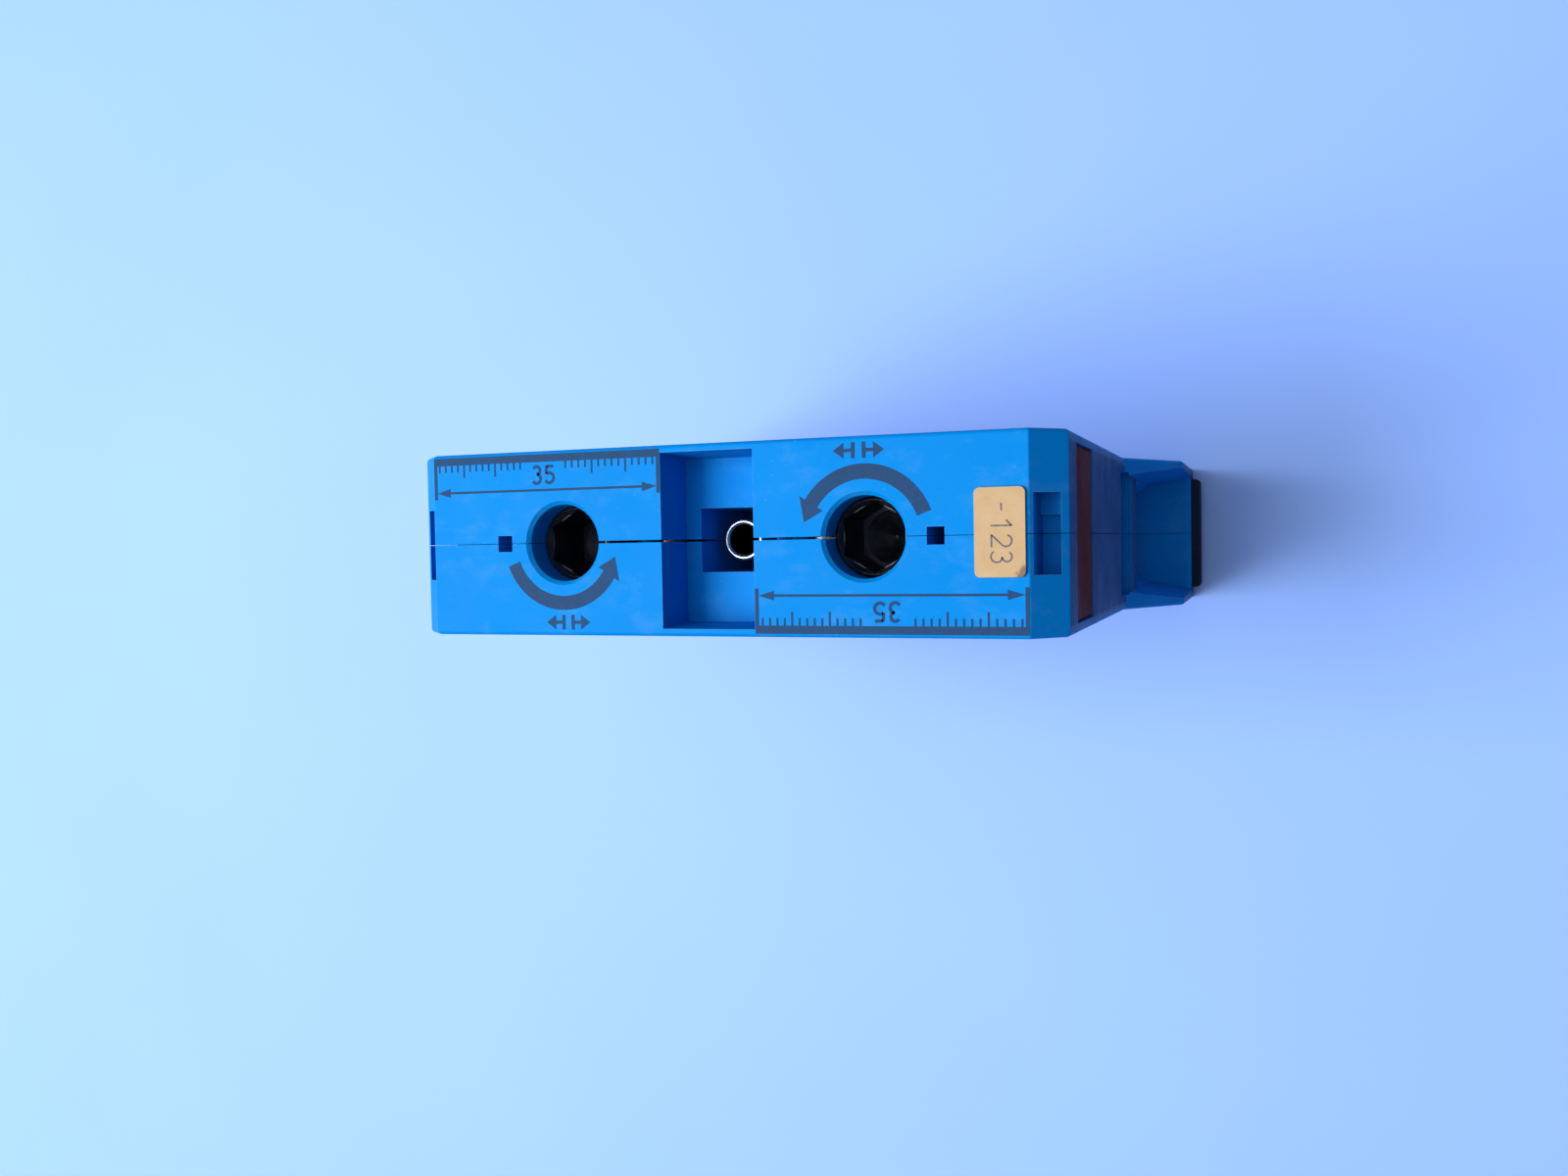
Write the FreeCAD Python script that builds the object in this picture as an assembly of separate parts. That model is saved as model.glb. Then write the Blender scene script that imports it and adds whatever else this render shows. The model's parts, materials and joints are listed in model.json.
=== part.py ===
import FreeCAD, Part

import math
import os

# DIN rail terminal block, high-current, two conductors, two hex-driven spring cage clamps.
# Millimetres. Origin: centre of the face that rests on the rail's upper edge. +Z points away from
# the rail, X runs along the block from conductor to conductor, Y runs along the rail.
# The block is the same at both ends, turned by half a turn about Z, apart from the rail foot.

# ---- housing ----
WIDTH = 25.0                # along the rail
TOP = 101.0                 # top face above the rail's upper edge
BASE = -10.5                # underside of the rail foot
TOP_HALF = 41.5             # half-length of the top face
TOP_WALL = 2.4              # thickness of the top face over the clamps
END = 45.6                  # half-length between the upright end faces
FOOT_END = 53.8             # half-length across the conductor funnels
SHOULDER = 4.15             # height of the sloped shoulders
FUNNEL_ROOT = 34.6          # height where a funnel leaves the end face
FUNNEL_LIP = 18.2           # height of the funnel's outer lip
WALL = 2.2                  # side wall thickness
END_WALL = 2.2              # end wall thickness
SEAM = 0.04                 # half the hairline gap between the two shells
WIDE_SEAM = 0.17            # half the gap where the shells spread, between the drive holes
EDGE_ROUND = 0.6            # rounding of the outer side edges
CROSS_ROUND = 0.35          # rounding of the edges that run across the block
PANEL_DEPTH = 0.35          # sunk field on each side face
PANEL_HALF_X = 39.0
PANEL_LOW = 42.0
PANEL_HIGH = 84.0
PANEL_CORNER = 4.0
PEG_X = (11.0, 35.3)        # pegs that join the shells: one row under the top face
PEG_Z = 94.5
LOW_PEG_X = 8.0             # and a pair above the rail
LOW_PEG_Z = 7.3
PEG_R = 1.5
PEG_LENGTH = 5.0
BOSS_R = 2.6                # post round a peg or its socket
PEG_MARK_R = 2.2            # round mark sunk in the side face over each peg
PEG_MARK_DEPTH = 0.3

# ---- rail and foot ----
RAIL_HALF = 17.7            # half-width of the rail channel
SEAT_HALF = 15.5            # half-width of the face that rests on the rail
LIP_GAP = 2.4               # room for the rail's lip above the hooks
HOOK_TIP = 15.6
SLIDE_TOP = -4.0
SLIDE_BOTTOM = -9.0
SLIDE_HALF_Y = 10.2
SLIDE_OUT = 55.4
SLIDE_TRAVEL = 2.2
SLIDE_CLEARANCE = 0.3
SPRING_IN = 22.0            # the slide's spring, between the slide and a rib of the housing
SPRING_OUT = 38.0
SPRING_RIB = 1.5            # thickness of that rib

# ---- conductor funnels ----
# Open trays: the conductor is laid in over the lip and pushed through the throat in the end wall.
TRAY_TOP = FUNNEL_ROOT + 1.4
TRAY_ROOT_FLOOR = -0.75     # floor and half-widths where the tray leaves the end wall
TRAY_ROOT_LOW = 8.9
TRAY_ROOT_HIGH = 9.75
TRAY_LIP_FLOOR = -2.6       # and at its lip
TRAY_LIP_LOW = 10.5
TRAY_LIP_HIGH = 12.1
LIP_BEVEL = 0.7
RIM_OUT = END + 0.6         # bar across the top of the throat
RIM_TOP = 29.5
SLOT_DEPTH = 1.0            # shallow recess in the end wall above that bar
SLOT_LOW = RIM_TOP + 0.6
SLOT_HIGH = 41.2
SLOT_HALF = 10.1
HOOD_IN = 42.4              # the throat's hood, from the bar down to the cone
HOOD_HALF = 7.0
HOOD_TOP = 16.2
HOOD_FLOOR = 0.2
MOUTH_TOP = 22.5
MOUTH_HIGH = 9.2
THROAT_Z = 8.2              # axis of the cone that guides the bare conductor
THROAT_X = 40.2
THROAT_INNER_R = 7.2
THROAT_OUTER_R = 8.9

# ---- clamp chambers ----
CHAMBER_IN = 8.2
CHAMBER_STOP = 14.0         # wall that the conductor's end meets
CHAMBER_OUT = 40.4
WELL_IN = RAIL_HALF + 1.65
CENTRE_HALF = 5.9           # hollow between the two clamps

# ---- top features ----
POCKET_HALF_X = 6.5
POCKET_HALF_Y = 11.5
POCKET_DEPTH = 8.0
PLUG_SHAFT_HALF = 4.33      # square shaft round the test socket
DRIVE_X = 21.2              # clamp spindle axis
DRIVE_BORE_R = 5.2
DRIVE_RIM_R = 5.7
TEST_HOLE_X = 30.2
TEST_HOLE = 2.2             # side of the square test hole
SLOT_HALF_Y = 4.9           # marker slot in a shoulder
SLOT_IN = 41.9
SLOT_OUT = 44.7
SLOT_FLOOR = 93.8
SLOT_STEP = 1.2             # raised part of the slot's floor
SLOT_STEP_Y = 2.3

# ---- marker tag ----
TAG_IN = 35.0
TAG_OUT = 41.1
TAG_LOW_Y = -5.1
TAG_HIGH_Y = 5.6
TAG_THICK = 0.5

# ---- current path ----
BAR_BOTTOM = 15.0
BAR_TOP = 20.0
BAR_HALF_X = 40.0
BAR_HALF_Y = 7.5
PLUG_R = 2.1                # bore of the 4 mm test socket
SOCKET_R = 2.825
SOCKET_TOP = TOP - 12.4
SOCKET_DEPTH = 20.0

# ---- clamp ----
TRAVEL = 12.5               # how far a clamp opens
TURN = 120.0                # spindle turn that opens it, degrees
LEAD = TRAVEL * 360.0 / TURN
FRAME_IN = 9.5              # support frame, inner and outer faces of its legs
FRAME_OUT = 38.5
FRAME_HALF_Y = 7.0
FRAME_LEG = 2.0
FRAME_TOP = 89.0
FRAME_PLATE = 2.5
STIRRUP_IN = 19.7
STIRRUP_OUT = 30.7
STIRRUP_HALF_Y = 9.4
STIRRUP_LEG = 1.5
STIRRUP_SEAT = 14.7         # crossbar that lifts the conductor against the bar
STIRRUP_BAR = 3.0
STIRRUP_TOP = 70.4
STIRRUP_PLATE = 2.4
WELL_FLOOR = -1.3           # floor of the space a lowered stirrup drops into
NUT_HALF = 6.5
NUT_HEIGHT = 10.0
PIN_R = 1.5
GROOVE_WIDTH = 3.4
GROOVE_DEPTH = 1.4

# ---- spindle ----
SPINDLE_TOP = TOP - 4.0
HEAD_R = 5.05
HEX_FLATS = 8.0
HEX_DEPTH = 9.0
FLANGE_R = 7.0
FLANGE_TOP = 85.6
FLANGE_HEIGHT = 2.6
LUG_R = 9.4
LUG_WIDTH = 3.6
LUG_ANGLE = -88.0           # lug direction with the clamp closed
SHANK_R = 4.3
SHANK_BOTTOM = 59.0
RUNNING = 0.1               # radial clearance of a turning fit

# ---- latch ----
LATCH_LOW = 75.6
LATCH_HIGH = 90.6
LATCH_HALF_Y = 11.15
LATCH_TRAVEL = 2.5
LATCH_FLANGE = 1.3          # thickness of the rim that keeps the latch in
LATCH_BACK = END - END_WALL - 0.5
TONGUE_TIP = 31.2
TONGUE_HALF_Y = 4.0
TONGUE_THICK = 2.2

HALF_WIDTH = WIDTH / 2
INNER_Y = HALF_WIDTH - WALL
UP = FreeCAD.Vector(0, 0, 1)
ALONG_X = FreeCAD.Vector(1, 0, 0)
ALONG_Y = FreeCAD.Vector(0, 1, 0)


# ---- helpers ----

def box(x0, x1, y0, y1, z0, z1):
    """A block given by its low and high corner on each axis."""
    return Part.makeBox(x1 - x0, y1 - y0, z1 - z0, FreeCAD.Vector(x0, y0, z0))


def mid_box(x0, x1, half_y, z0, z1):
    """A block centred on the seam plane."""
    return box(x0, x1, -half_y, half_y, z0, z1)


def rod(radius, x, z0, z1):
    """An upright cylinder on the seam plane."""
    return Part.makeCylinder(radius, z1 - z0, FreeCAD.Vector(x, 0, z0), UP)


def side_prism(points, y0, y1):
    """Pushes an outline drawn in X and Z from y0 to y1."""
    corners = [FreeCAD.Vector(x, y0, z) for x, z in points]
    face = Part.Face(Part.makePolygon(corners + [corners[0]]))
    return face.extrude(FreeCAD.Vector(0, y1 - y0, 0))


def plan_prism(points, z0, z1):
    """Pushes an outline drawn in X and Y from z0 to z1."""
    corners = [FreeCAD.Vector(x, y, z0) for x, y in points]
    face = Part.Face(Part.makePolygon(corners + [corners[0]]))
    return face.extrude(FreeCAD.Vector(0, 0, z1 - z0))


def turned(shape):
    """The same piece at the other end of the block."""
    copy = shape.copy()
    copy.rotate(FreeCAD.Vector(0, 0, 0), UP, 180)
    return copy


def both(shapes):
    """Every shape, and its copy at the other end."""
    return shapes + [turned(shape) for shape in shapes]


def rounded(shape, radius, wanted):
    """Rounds the edges for which wanted(edge) is true."""
    return shape.makeFillet(radius, [edge for edge in shape.Edges if wanted(edge)])


def coil(radius, wire, turns, start, length):
    """A compression spring along X, with its low end at start."""
    pitch = (length - 2 * wire) / turns
    path = Part.makeHelix(pitch, pitch * turns, radius)
    section = Part.Wire(Part.makeCircle(wire / 2, FreeCAD.Vector(radius, 0, 0), ALONG_Y))
    spring = Part.Wire(path).makePipeShell([section], True, True)
    spring.rotate(FreeCAD.Vector(0, 0, 0), ALONG_Y, 90)
    spring.translate(start + FreeCAD.Vector(wire, 0, 0))
    return spring


# ---- housing ----

def housing_block():
    """The outer form of both shells together, before anything is cut into it."""
    outline = [
        (-FOOT_END, BASE), (FOOT_END, BASE), (FOOT_END, FUNNEL_LIP), (END, FUNNEL_ROOT),
        (END, TOP - SHOULDER), (TOP_HALF, TOP), (-TOP_HALF, TOP), (-END, TOP - SHOULDER),
        (-END, FUNNEL_ROOT), (-FOOT_END, FUNNEL_LIP),
    ]
    block = side_prism(outline, -HALF_WIDTH, HALF_WIDTH)

    def on_side(edge):
        return edge.BoundBox.YLength < 0.01

    def across(edge):
        return edge.BoundBox.YLength > 1 and edge.BoundBox.ZMin > BASE + 1

    return rounded(rounded(block, CROSS_ROUND, across), EDGE_ROUND, on_side)


def trapezium(x, floor, low_half, top, high_half):
    """An upright section across the block at x, with its own half-width at floor and top."""
    corners = [(-low_half, floor), (low_half, floor), (high_half, top), (-high_half, top)]
    return Part.makePolygon([FreeCAD.Vector(x, y, z) for y, z in corners + corners[:1]])


def funnel_cuts():
    """Open tray, recess above the bar at its root, and throat of one conductor entry."""
    past_lip = (FOOT_END + 1 - RIM_OUT) / (FOOT_END - RIM_OUT)

    def beyond(root, lip):
        return root + (lip - root) * past_lip

    root = trapezium(RIM_OUT, TRAY_ROOT_FLOOR, TRAY_ROOT_LOW, TRAY_TOP, TRAY_ROOT_HIGH)
    outside = trapezium(FOOT_END + 1, beyond(TRAY_ROOT_FLOOR, TRAY_LIP_FLOOR),
                        beyond(TRAY_ROOT_LOW, TRAY_LIP_LOW), TRAY_TOP, beyond(TRAY_ROOT_HIGH, TRAY_LIP_HIGH))
    tray = Part.makeLoft([root, outside], True)
    over_bar = mid_box(END, RIM_OUT + 0.1, TRAY_ROOT_HIGH - 0.1, RIM_TOP, TRAY_TOP)
    slot = mid_box(END - SLOT_DEPTH, END + 0.5, SLOT_HALF, SLOT_LOW, SLOT_HIGH)
    high = TRAY_LIP_FLOOR + LIP_BEVEL / 4
    low = TRAY_LIP_FLOOR - LIP_BEVEL
    bevel = side_prism(
        [(FOOT_END - LIP_BEVEL, high), (FOOT_END + 1, high), (FOOT_END + 1, low), (FOOT_END, low)],
        -TRAY_LIP_LOW, TRAY_LIP_LOW)
    hood = Part.makeLoft([
        trapezium(HOOD_IN, HOOD_FLOOR, HOOD_HALF, HOOD_TOP, HOOD_HALF),
        trapezium(RIM_OUT + 0.01, TRAY_ROOT_FLOOR, TRAY_ROOT_LOW, MOUTH_TOP, MOUTH_HIGH)], True)
    length = END + 0.4 - THROAT_X
    start = FreeCAD.Vector(THROAT_X, 0, THROAT_Z)
    cone = Part.makeCone(THROAT_INNER_R, THROAT_OUTER_R, length, start, ALONG_X)
    return [tray, over_bar, slot, bevel, hood, cone]


def clamp_chamber():
    """The space for one clamp: above the bar, below the bar, and the hollow under the top face."""
    above = mid_box(CHAMBER_IN, END - END_WALL, INNER_Y, BAR_TOP + 0.2, FRAME_TOP + 0.1)
    shelf = 1.4
    below = side_prism(
        [(CHAMBER_STOP, shelf), (WELL_IN, shelf), (WELL_IN, WELL_FLOOR), (CHAMBER_OUT, WELL_FLOOR),
         (CHAMBER_OUT, BAR_TOP + 0.3), (CHAMBER_STOP, BAR_TOP + 0.3)], -INNER_Y, INNER_Y)
    roof = mid_box(CHAMBER_IN + 0.3, FRAME_OUT + 0.5, INNER_Y, FRAME_TOP, TOP - TOP_WALL)
    tower = rod(7.5, DRIVE_X, FRAME_TOP, TOP)
    chimney = mid_box(TEST_HOLE_X - 2.4, TEST_HOLE_X + 2.4, 2.4, FRAME_TOP, TOP)
    bosses = [peg_rod(BOSS_R, x, PEG_Z, -HALF_WIDTH, HALF_WIDTH) for x in PEG_X]
    return [above, below, roof.cut([tower, chimney] + bosses)]


def peg_rod(radius, x, z, y0, y1):
    """A cylinder along Y, on the line of a peg."""
    return Part.makeCylinder(radius, y1 - y0, FreeCAD.Vector(x, y0, z), ALONG_Y)


def peg_places():
    """X and Z of every peg that joins the shells."""
    high = [(x * end, PEG_Z) for x in PEG_X for end in (1, -1)]
    return high + [(LOW_PEG_X * end, LOW_PEG_Z) for end in (1, -1)]


def centre_cuts():
    """Pocket, plug shaft, bar passage and the hollows between the two clamps."""
    floor = TOP - POCKET_DEPTH
    pocket = tapered_pocket(POCKET_HALF_X, POCKET_HALF_Y, floor, 0.5)
    shaft_low = SOCKET_TOP - SOCKET_DEPTH
    shaft = mid_box(-PLUG_SHAFT_HALF, PLUG_SHAFT_HALF, PLUG_SHAFT_HALF, shaft_low, floor + 1)
    well = mid_box(-CENTRE_HALF, CENTRE_HALF, INNER_Y, BAR_TOP + 2, 70)
    well_neck = mid_box(-CENTRE_HALF, CENTRE_HALF, 4.0, BAR_TOP, BAR_TOP + 3)
    reach = CHAMBER_STOP + 1
    passage = mid_box(-reach, reach, BAR_HALF_Y + 0.2, BAR_BOTTOM - 0.2, BAR_TOP + 0.3)
    under = mid_box(-12.3, 12.3, INNER_Y, 1.6, 12.8)
    bosses = [peg_rod(BOSS_R, LOW_PEG_X * end, LOW_PEG_Z, -HALF_WIDTH, HALF_WIDTH) for end in (1, -1)]
    rivet_room = mid_box(-3.6, 3.6, 3.6, 12.5, BAR_BOTTOM)
    return [pocket, shaft, well, well_neck, passage, under.cut(bosses), rivet_room]


def tapered_pocket(half_x, half_y, floor, draft):
    """The open pocket between the clamps, narrower at its floor."""
    rise = 1.0
    ends = []
    for y, z in ((half_y - draft, floor), (half_y + draft * rise / POCKET_DEPTH, TOP + rise)):
        corners = [(-half_x, -y), (half_x, -y), (half_x, y), (-half_x, y), (-half_x, -y)]
        ends.append(Part.makePolygon([FreeCAD.Vector(x, at_y, z) for x, at_y in corners]))
    return Part.makeLoft(ends, True)


def top_cuts():
    """Drive bore, test hole and marker slot of one end."""
    bore = rod(DRIVE_BORE_R, DRIVE_X, FRAME_TOP - 1, TOP + 1)
    rim = Part.makeCone(DRIVE_BORE_R, DRIVE_RIM_R, DRIVE_RIM_R - DRIVE_BORE_R,
                        FreeCAD.Vector(DRIVE_X, 0, TOP - DRIVE_RIM_R + DRIVE_BORE_R), UP)
    half = TEST_HOLE / 2
    test_hole = mid_box(TEST_HOLE_X - half, TEST_HOLE_X + half, half, FRAME_TOP - 1, TOP + 1)
    slot = mid_box(SLOT_IN, SLOT_OUT, SLOT_HALF_Y, SLOT_FLOOR, TOP + 1)
    step = box(SLOT_IN, SLOT_OUT, SLOT_STEP_Y, SLOT_HALF_Y, SLOT_FLOOR, SLOT_FLOOR + SLOT_STEP)
    return [bore, rim, test_hole, slot.cut(step)]


def latch_cuts():
    """Window for one latch, and the room behind the end wall for its flange."""
    gap = 0.12
    deepest = LATCH_BACK - LATCH_FLANGE - LATCH_TRAVEL - 0.3
    window = mid_box(deepest, END + 1, LATCH_HALF_Y + gap, LATCH_LOW - gap, LATCH_HIGH + gap)
    room = mid_box(deepest, END - END_WALL, INNER_Y, LATCH_LOW - 1.6, LATCH_HIGH + 1.6)
    return [window, room]


def foot_cuts():
    """Rail channel, the slide's way out, and the hollow beside the fixed hook."""
    undercut = 0.3
    channel = side_prism(
        [(-HOOK_TIP, BASE - 1), (RAIL_HALF, BASE - 1), (RAIL_HALF, undercut), (SEAT_HALF, undercut),
         (SEAT_HALF, 0), (-SEAT_HALF, 0), (-SEAT_HALF, undercut), (-RAIL_HALF, undercut),
         (-RAIL_HALF, -LIP_GAP), (-HOOK_TIP, -LIP_GAP - 0.8)], -HALF_WIDTH - 1, HALF_WIDTH + 1)
    low = SLIDE_BOTTOM - SLIDE_CLEARANCE
    high = SLIDE_TOP + SLIDE_CLEARANCE
    half = SLIDE_HALF_Y + SLIDE_CLEARANCE
    way = mid_box(RAIL_HALF - 1, FOOT_END + 1, half, low, high)
    nose_way = mid_box(RAIL_HALF - 1, RAIL_HALF + SLIDE_TRAVEL, half, high - 1, 0.5 - LIP_GAP)
    rib = mid_box(SPRING_OUT, SPRING_OUT + SPRING_RIB, 2.8, low - 1, high - 0.4)
    wall = 1.8
    hollow = mid_box(-FOOT_END + wall, -RAIL_HALF - wall, INNER_Y, low, high)
    return [channel, way.cut(rib), nose_way, hollow]


def side_face_cuts():
    """Sunk field with round corners on each side face, and a round mark over each peg."""
    panel = mid_box(-PANEL_HALF_X, PANEL_HALF_X, HALF_WIDTH + 1, PANEL_LOW, PANEL_HIGH)

    def upright_corner(edge):
        return edge.BoundBox.YLength > WIDTH

    panel = rounded(panel, PANEL_CORNER, upright_corner)
    core = mid_box(-FOOT_END, FOOT_END, HALF_WIDTH - PANEL_DEPTH, 0, TOP)
    marks = []
    for x, z in peg_places():
        marks.append(peg_rod(PEG_MARK_R, x, z, -HALF_WIDTH - 1, PEG_MARK_DEPTH - HALF_WIDTH))
        marks.append(peg_rod(PEG_MARK_R, x, z, HALF_WIDTH - PEG_MARK_DEPTH, HALF_WIDTH + 1))
    return [panel.cut(core)] + marks


def housing():
    """Both shells as one form, cut and hollowed, still undivided."""
    cuts = both(funnel_cuts() + clamp_chamber() + top_cuts() + latch_cuts())
    cuts += centre_cuts() + foot_cuts() + side_face_cuts()
    spread = mid_box(-DRIVE_X, DRIVE_X, WIDE_SEAM, TOP - POCKET_DEPTH - 6, TOP + 1)
    return housing_block().cut(cuts + [spread])


def peg(x, z):
    pin = peg_rod(PEG_R, x, z, -3, PEG_LENGTH)
    return pin.makeChamfer(0.4, [pin.Edges[0]])


def front_shell(whole):
    """The half on the -Y side, with the pegs."""
    half = whole.common(box(-FOOT_END, FOOT_END, -HALF_WIDTH, -SEAM, BASE, TOP))
    return half.fuse([peg(x, z) for x, z in peg_places()]).removeSplitter()


def rear_shell(whole):
    """The half on the +Y side, with the sockets for the pegs."""
    half = whole.common(box(-FOOT_END, FOOT_END, SEAM, HALF_WIDTH, BASE, TOP))
    return half.cut([peg_rod(PEG_R + 0.05, x, z, -1, PEG_LENGTH + 0.5) for x, z in peg_places()])


# ---- current path ----

def current_bar():
    """Flat bar under both clamps, toothed where the conductors press on it."""
    bar = mid_box(-BAR_HALF_X, BAR_HALF_X, BAR_HALF_Y, BAR_BOTTOM, BAR_TOP)
    tooth = 1.4
    groove = 0.45
    cuts = [rod(2.0, 0, BAR_BOTTOM - 1, BAR_TOP + 1)]
    for x in (FRAME_IN, FRAME_OUT - FRAME_LEG):
        cuts += both([mid_box(x, x + FRAME_LEG, 3.0, BAR_BOTTOM - 1, BAR_TOP + 1)])
    for step in range(9):
        x = STIRRUP_IN + tooth * (step + 0.5)
        vee = [(x - groove, BAR_BOTTOM - 0.01), (x + groove, BAR_BOTTOM - 0.01), (x, BAR_BOTTOM + groove)]
        cuts += both([side_prism(vee, -BAR_HALF_Y - 1, BAR_HALF_Y + 1)])
    return bar.cut(cuts)


def test_socket():
    """Turned post riveted into the bar, bored at its top for a 4 mm test plug."""
    post = rod(SOCKET_R, 0, BAR_TOP, SOCKET_TOP)
    rim = [edge for edge in post.Edges if edge.BoundBox.ZMin > SOCKET_TOP - 0.01]
    post = post.makeChamfer(0.25, rim)
    spigot = rod(2.0, 0, BAR_BOTTOM - 0.5, BAR_TOP + 0.1)
    head = Part.makeCone(1.6, 3.0, 1.2, FreeCAD.Vector(0, 0, BAR_BOTTOM - 1.2), UP)
    bore = rod(PLUG_R, 0, SOCKET_TOP - SOCKET_DEPTH, SOCKET_TOP + 1)
    entry = Part.makeCone(PLUG_R, PLUG_R + 0.35, 0.35, FreeCAD.Vector(0, 0, SOCKET_TOP - 0.34), UP)
    return post.fuse([spigot, head]).cut([bore, entry])


# ---- clamp ----

def support_frame():
    """Steel arch peened into the bar: it takes the spindle's thrust."""
    outer = mid_box(FRAME_IN, FRAME_OUT, FRAME_HALF_Y, BAR_TOP, FRAME_TOP)

    def top_corner(edge):
        return edge.BoundBox.ZMin > FRAME_TOP - 0.01 and edge.BoundBox.XLength < 0.01

    outer = rounded(outer, 2.2, top_corner)
    inner = mid_box(FRAME_IN + FRAME_LEG, FRAME_OUT - FRAME_LEG, HALF_WIDTH, BAR_TOP - 1,
                    FRAME_TOP - FRAME_PLATE)
    tenons = [mid_box(x, x + FRAME_LEG, 3.0, BAR_BOTTOM, BAR_TOP)
              for x in (FRAME_IN, FRAME_OUT - FRAME_LEG)]
    tongue_mid = FLANGE_TOP - FLANGE_HEIGHT / 2
    cuts = [
        rod(HEAD_R + RUNNING, DRIVE_X, FRAME_TOP - 4, FRAME_TOP + 1),
        mid_box(TEST_HOLE_X - 1.3, TEST_HOLE_X + 1.3, 1.3, FRAME_TOP - 4, FRAME_TOP + 1),
        mid_box(FRAME_OUT - 3, FRAME_OUT + 1, TONGUE_HALF_Y + 0.4, tongue_mid - 1.6, tongue_mid + 1.6),
    ]
    return outer.cut(inner).fuse(tenons).cut(cuts).removeSplitter()


def thrust_washer():
    top = FRAME_TOP - FRAME_PLATE
    return rod(FLANGE_R, DRIVE_X, top - 0.8, top).cut(rod(HEAD_R + RUNNING, DRIVE_X, top - 2, top + 1))


def hexagon(flats, x, z0, z1):
    """Hexagonal prism with two of its flats square to X."""
    corner = flats / math.sqrt(3)
    points = []
    for step in range(6):
        angle = math.radians(30 + 60 * step)
        points.append((x + corner * math.cos(angle), corner * math.sin(angle)))
    return plan_prism(points, z0, z1)


def cam_groove():
    """One helical groove in the spindle's shank, for a follower pin."""
    run_in = 16.0
    span = TURN + 2 * run_in
    height = LEAD * span / 360
    path = Part.makeHelix(LEAD, height, SHANK_R)
    rise = math.atan2(LEAD, 2 * math.pi * SHANK_R)
    across = FreeCAD.Vector(0, -math.sin(rise), math.cos(rise))
    half = across * (GROOVE_WIDTH / 2)
    deep = FreeCAD.Vector(SHANK_R - GROOVE_DEPTH, 0, 0)
    proud = FreeCAD.Vector(SHANK_R + 1, 0, 0)
    section = Part.makePolygon([deep - half, proud - half, proud + half, deep + half, deep - half])
    groove = Part.Wire(path).makePipeShell([section], True, True)
    groove.rotate(FreeCAD.Vector(0, 0, 0), UP, 90 - TURN - run_in)
    pin_height = STIRRUP_TOP + 0.1 + NUT_HEIGHT / 2
    groove.translate(FreeCAD.Vector(DRIVE_X, 0, pin_height - TRAVEL - LEAD * run_in / 360))
    return groove


def drive_spindle():
    """Hex-socket head, thrust flange with a locking lug, and a cam-grooved shank."""
    head = rod(HEAD_R, DRIVE_X, FLANGE_TOP - 1, SPINDLE_TOP)
    rim = [edge for edge in head.Edges if edge.BoundBox.ZMin > SPINDLE_TOP - 0.01]
    head = head.makeChamfer(0.3, rim)
    flange_bottom = FLANGE_TOP - FLANGE_HEIGHT
    flange = rod(FLANGE_R, DRIVE_X, flange_bottom, FLANGE_TOP)
    lug = box(DRIVE_X, DRIVE_X + LUG_R, -LUG_WIDTH / 2, LUG_WIDTH / 2, flange_bottom, FLANGE_TOP)
    lug.rotate(FreeCAD.Vector(DRIVE_X, 0, 0), UP, LUG_ANGLE)
    shank = rod(SHANK_R, DRIVE_X, SHANK_BOTTOM, flange_bottom + 1)
    tip = [edge for edge in shank.Edges if edge.BoundBox.ZMax < SHANK_BOTTOM + 0.01]
    shank = shank.makeChamfer(0.8, tip)
    groove = cam_groove()
    other = groove.copy()
    other.rotate(FreeCAD.Vector(DRIVE_X, 0, 0), UP, 180)
    shank = shank.cut([groove, other])
    socket = hexagon(HEX_FLATS, DRIVE_X, SPINDLE_TOP - HEX_DEPTH, SPINDLE_TOP + 1)
    corner = HEX_FLATS / math.sqrt(3)
    drill = Part.makeCone(0.2, 3.6, 2.0, FreeCAD.Vector(DRIVE_X, 0, SPINDLE_TOP - HEX_DEPTH - 2), UP)
    mouth = FreeCAD.Vector(DRIVE_X, 0, SPINDLE_TOP - 0.6)
    lead_in = Part.makeCone(corner - 0.5, corner + 0.1, 0.6, mouth, UP)
    return head.fuse([flange, lug, shank]).cut([socket, drill, lead_in])


def cam_nut():
    """Square brass nut that the spindle drives down; its pins run in the cam grooves."""
    low = STIRRUP_TOP + 0.1
    block = box(DRIVE_X - NUT_HALF, DRIVE_X + NUT_HALF, -NUT_HALF, NUT_HALF, low, low + NUT_HEIGHT)

    def upright(edge):
        return edge.BoundBox.ZLength > NUT_HEIGHT - 0.01

    block = block.makeChamfer(1.2, [edge for edge in block.Edges if upright(edge)])
    bore = rod(SHANK_R + RUNNING, DRIVE_X, low - 1, low + NUT_HEIGHT + 1)
    start = FreeCAD.Vector(DRIVE_X, -NUT_HALF - 1, low + NUT_HEIGHT / 2)
    cross = Part.makeCylinder(PIN_R, 2 * NUT_HALF + 2, start, ALONG_Y)
    return block.cut([bore, cross])


def cam_pins():
    """Two follower pins pressed into the nut from opposite sides."""
    height = STIRRUP_TOP + 0.1 + NUT_HEIGHT / 2
    reach = SHANK_R - GROOVE_DEPTH + 0.2
    length = NUT_HALF - reach
    pins = []
    for side in (1, -1):
        start = FreeCAD.Vector(DRIVE_X, side * reach, height)
        pins.append(Part.makeCylinder(PIN_R, length, start, ALONG_Y * side))
    return Part.makeCompound(pins)


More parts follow.
